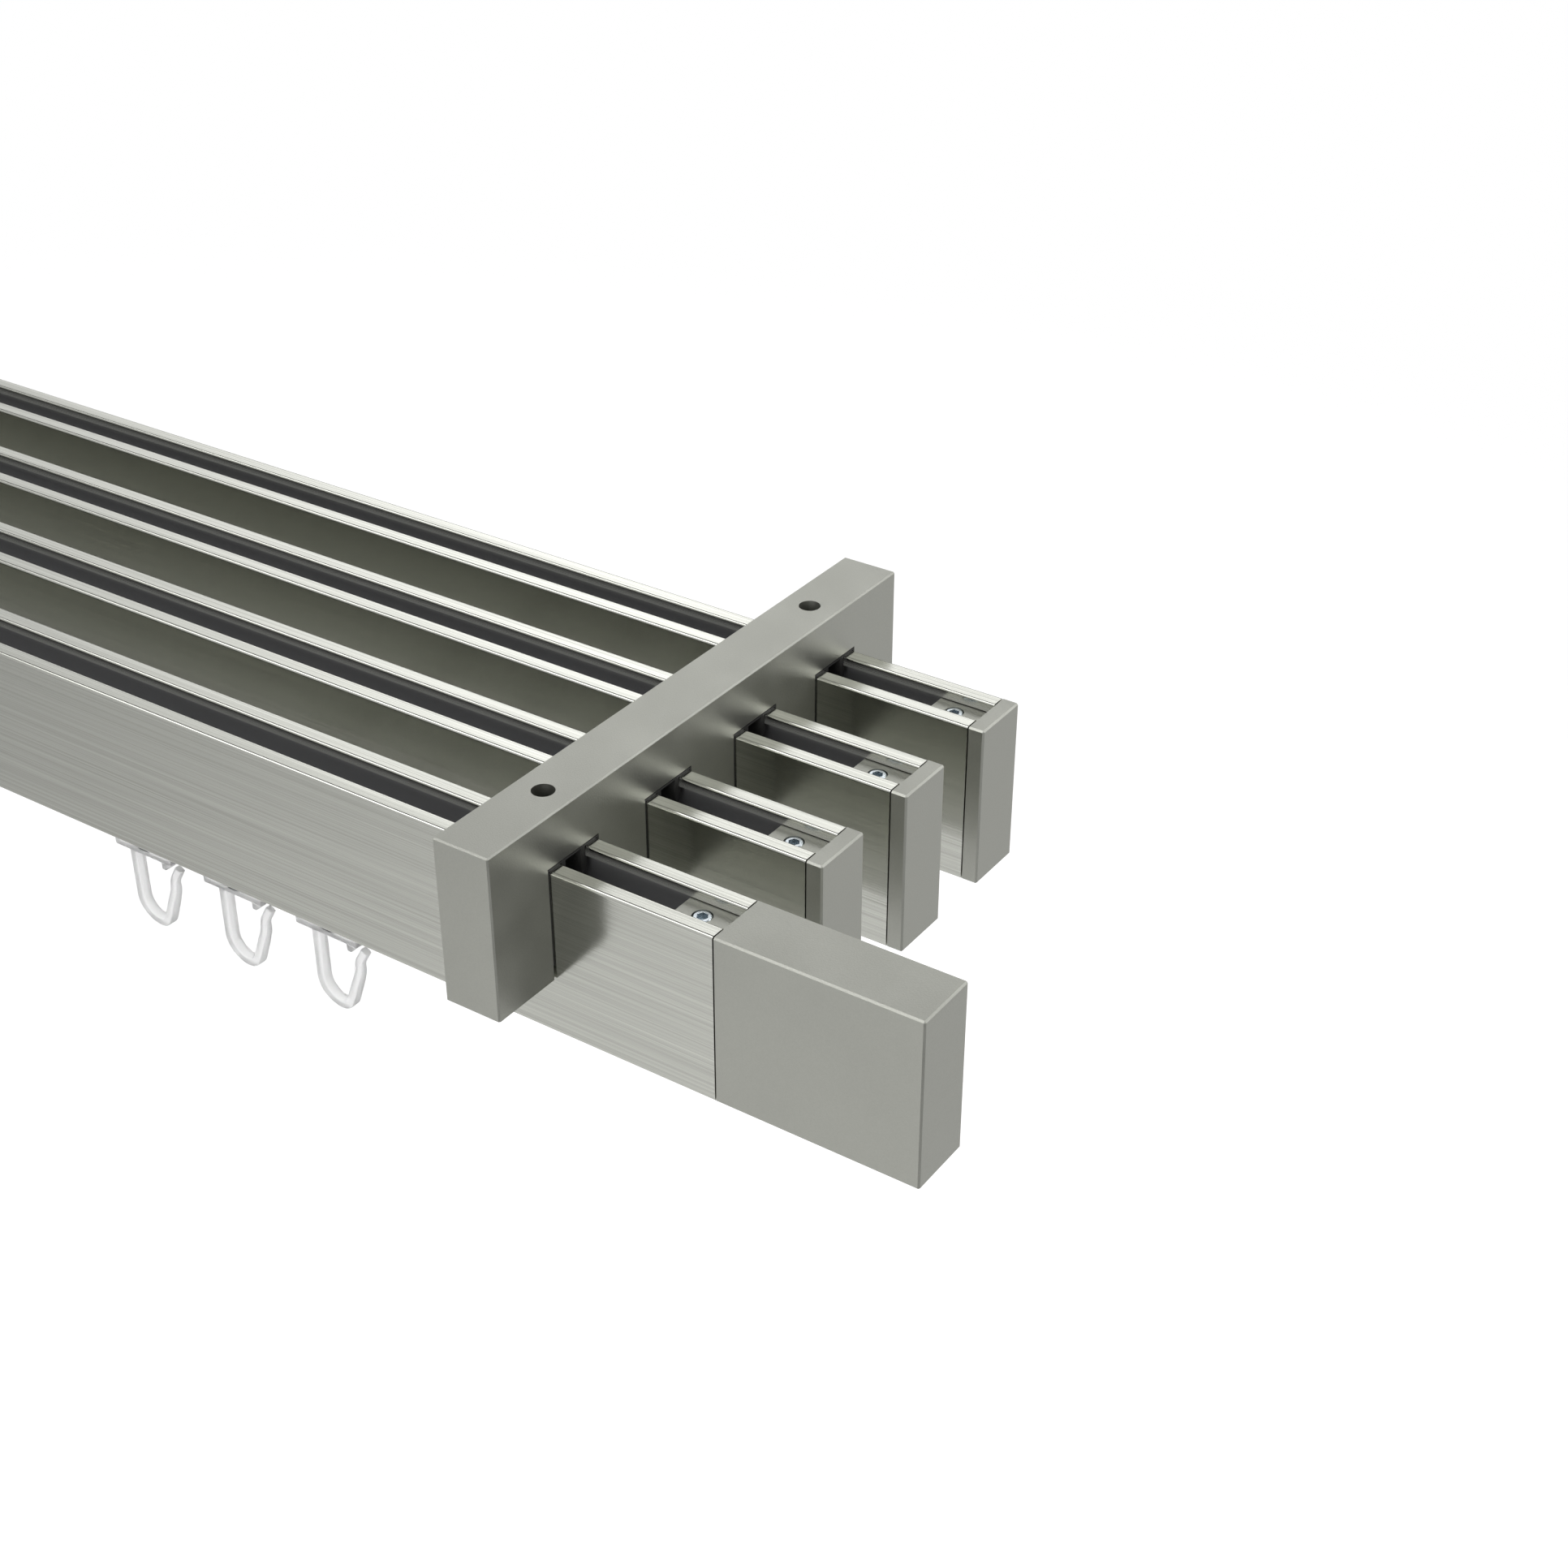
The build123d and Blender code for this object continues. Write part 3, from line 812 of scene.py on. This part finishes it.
def make_floor(studio):
    """A round floor that faces up: rings of points at the radius times cosine and sine."""
    r, a = np.meshgrid(
        np.linspace(studio.floor_radius, FLOOR_CORE, FLOOR_RINGS),
        np.arange(FLOOR_STEPS) * math.tau / FLOOR_STEPS, indexing="ij")
    height = np.full_like(r, CAD_LOW.z - studio.floor_drop)
    points = np.stack([r * np.cos(a), r * np.sin(a), height], axis=-1)
    core = list(range((FLOOR_RINGS - 1) * FLOOR_STEPS, FLOOR_RINGS * FLOOR_STEPS))
    faces = grid_faces(FLOOR_RINGS, FLOOR_STEPS, closed=True) + [core]
    floor = new_mesh("floor", points, faces, floor_material(studio))


def strip_material(studio):
    """A strip light that grows brighter from its left end to its right, with a dimmer slanted band.

    The band lies where X plus Z is near one value. The lips right of the bracket mirror it."""
    material, tree, shader = new_material("strip light")
    axes = object_axes(tree, (-900, 0))
    ramp = mapped(
        tree, (-500, 0), axes["X"], STRIP_DIM_X, STRIP_BRIGHT_X, studio.strip * STRIP_DIM_SHARE,
        studio.strip, soft=True)
    slant = math_node(tree, "ADD", (-700, -300), axes["X"], axes["Z"])
    off = math_node(tree, "SUBTRACT", (-500, -300), slant, BAND_MIDDLE)
    off = math_node(tree, "ABSOLUTE", (-350, -300), off)
    kept = mapped(
        tree, (-200, -300), off, BAND_CORE, BAND_END, low=1 - studio.strip_dip, soft=True)
    feed(tree, shader, {
        "Base Color": (0, 0, 0, 1),
        "Emission Color": (1, 1, 1, 1),
        "Emission Strength": math_node(tree, "MULTIPLY", (-50, 0), ramp, kept)})
    return material


def card_material(studio):
    """Dull grey board."""
    material, tree, shader = new_material("dark card")
    feed(tree, shader, {
        "Base Color": (studio.dark_card,) * 3 + (1,), "Roughness": 1.0, "Specular IOR Level": 0.0})
    return material


def card(name, corners, material):
    """A flat board that the camera doesn't see and that casts no shadow.

    Its points are its four corners blended by two shares, one for each side of the grid."""
    v, u = np.meshgrid(np.linspace(0, 1, 5), np.linspace(0, 1, 9), indexing="ij")
    u, v = u[..., None], v[..., None]
    a, b, c, d = np.array(corners)
    points = (1 - u) * (1 - v) * a + u * (1 - v) * b + u * v * c + (1 - u) * v * d
    board = new_mesh(name, points, grid_faces(*points.shape[:2]), material)
    board.visible_camera = False
    board.visible_shadow = False
    return board


def make_world(studio):
    """White all round: full strength to the camera, less as light and in reflections.

    Reflections show it dimmer behind and above the object, where both Y and Z of the direction are
    positive, so that the strip light stands out there, and dimmer again at the far left."""
    world = bpy.data.worlds.new("studio")
    world.use_nodes = True
    tree = world.node_tree
    axes = object_axes(tree, (-1700, 0))
    behind = math_node(tree, "MINIMUM", (-1300, 0), axes["Y"], axes["Z"])
    kept_behind = mapped(
        tree, (-1100, 0), behind, DUSK_STARTS, DUSK_FULL, 1.0, 1 - studio.dusk_behind, soft=True)
    kept_left = mapped(
        tree, (-1100, -200), axes["X"], LEFT_FULL, LEFT_STARTS, 1 - studio.dusk_left, soft=True)
    metal = math_node(tree, "MULTIPLY", (-900, -100), kept_behind, kept_left)
    metal = math_node(tree, "MULTIPLY", (-700, -100), metal, studio.sky_in_metal)
    feed(tree, tree.nodes["Background"], {
        "Color": (1, 1, 1, 1), "Strength": seen_as(tree, (-200, 0), 1.0, metal, studio.sky)})
    bpy.context.scene.world = world


def area_lamp(name, place, target, size, power):
    """A soft lamp of a given width and height at a place, turned to a target."""
    data = bpy.data.lights.new(name, "AREA")
    data.shape = "RECTANGLE"
    data.size, data.size_y = size
    data.energy = power
    lamp = new_object(name, data)
    lamp.location = place
    lamp.rotation_euler = (Vector(target) - Vector(place)).to_track_quat("-Z", "Y").to_euler()


def make_camera(studio):
    """The camera of the photograph, level, with its lens."""
    data = bpy.data.cameras.new("camera")
    data.sensor_width = 36
    data.lens = studio.lens
    data.clip_start = 0.01
    data.clip_end = 50
    camera = new_object("camera", data)
    camera.location = studio.camera_place
    camera.rotation_euler = Vector(studio.camera_aim).to_track_quat("-Z", "Y").to_euler()
    bpy.context.scene.camera = camera


class CURTAINROD_OT_stage(bpy.types.Operator):
    """Builds the floor, the light and the camera."""

    bl_idname = "curtain_rod.stage"
    bl_label = "Build studio"

    def execute(self, context):
        studio = context.scene.curtain_rod_studio
        make_floor(studio)
        make_world(studio)
        for setting, lamp in LAMPS.items():
            area_lamp(*lamp, getattr(studio, setting))
        card("strip light", STRIP_CORNERS, strip_material(studio))
        dark = card("dark card", DARK_CORNERS, card_material(studio))
        dark.visible_diffuse = False
        make_camera(studio)
        context.scene.view_settings.view_transform = "Standard"
        return {"FINISHED"}


STEPS = [
    CURTAINROD_OT_effects,
    CURTAINROD_OT_rods,
    CURTAINROD_OT_brackets,
    CURTAINROD_OT_end_pieces,
    CURTAINROD_OT_clips,
    CURTAINROD_OT_screws,
    CURTAINROD_OT_gliders,
    CURTAINROD_OT_stage,
]
SETTINGS = {
    "curtain_rod_finishes": CurtainRodFinishes,
    "curtain_rod_glider": CurtainRodGlider,
    "curtain_rod_studio": CurtainRodStudio,
}


class CURTAINROD_PT_panel(bpy.types.Panel):
    """Lists the steps in the order in which they are run, and under them the settings."""

    bl_idname = "CURTAINROD_PT_panel"
    bl_label = "Curtain rod"
    bl_space_type = "VIEW_3D"
    bl_region_type = "UI"
    bl_category = "Curtain rod"

    def draw(self, context):
        for step in STEPS:
            self.layout.operator(step.bl_idname)
        for owner, kind in SETTINGS.items():
            for name in kind.__annotations__:
                self.layout.prop(getattr(context.scene, owner), name)


CLASSES = [*SETTINGS.values(), *STEPS, CURTAINROD_PT_panel]


def register():
    for item in CLASSES:
        bpy.utils.register_class(item)
    for owner, kind in SETTINGS.items():
        setattr(bpy.types.Scene, owner, bpy.props.PointerProperty(type=kind))


def unregister():
    for owner in SETTINGS:
        delattr(bpy.types.Scene, owner)
    for item in reversed(CLASSES):
        bpy.utils.unregister_class(item)


def main():
    """Runs every step."""
    register()
    for step in STEPS:
        area, name = step.bl_idname.split(".")
        getattr(getattr(bpy.ops, area), name)()


if __name__ == "__main__":
    main()
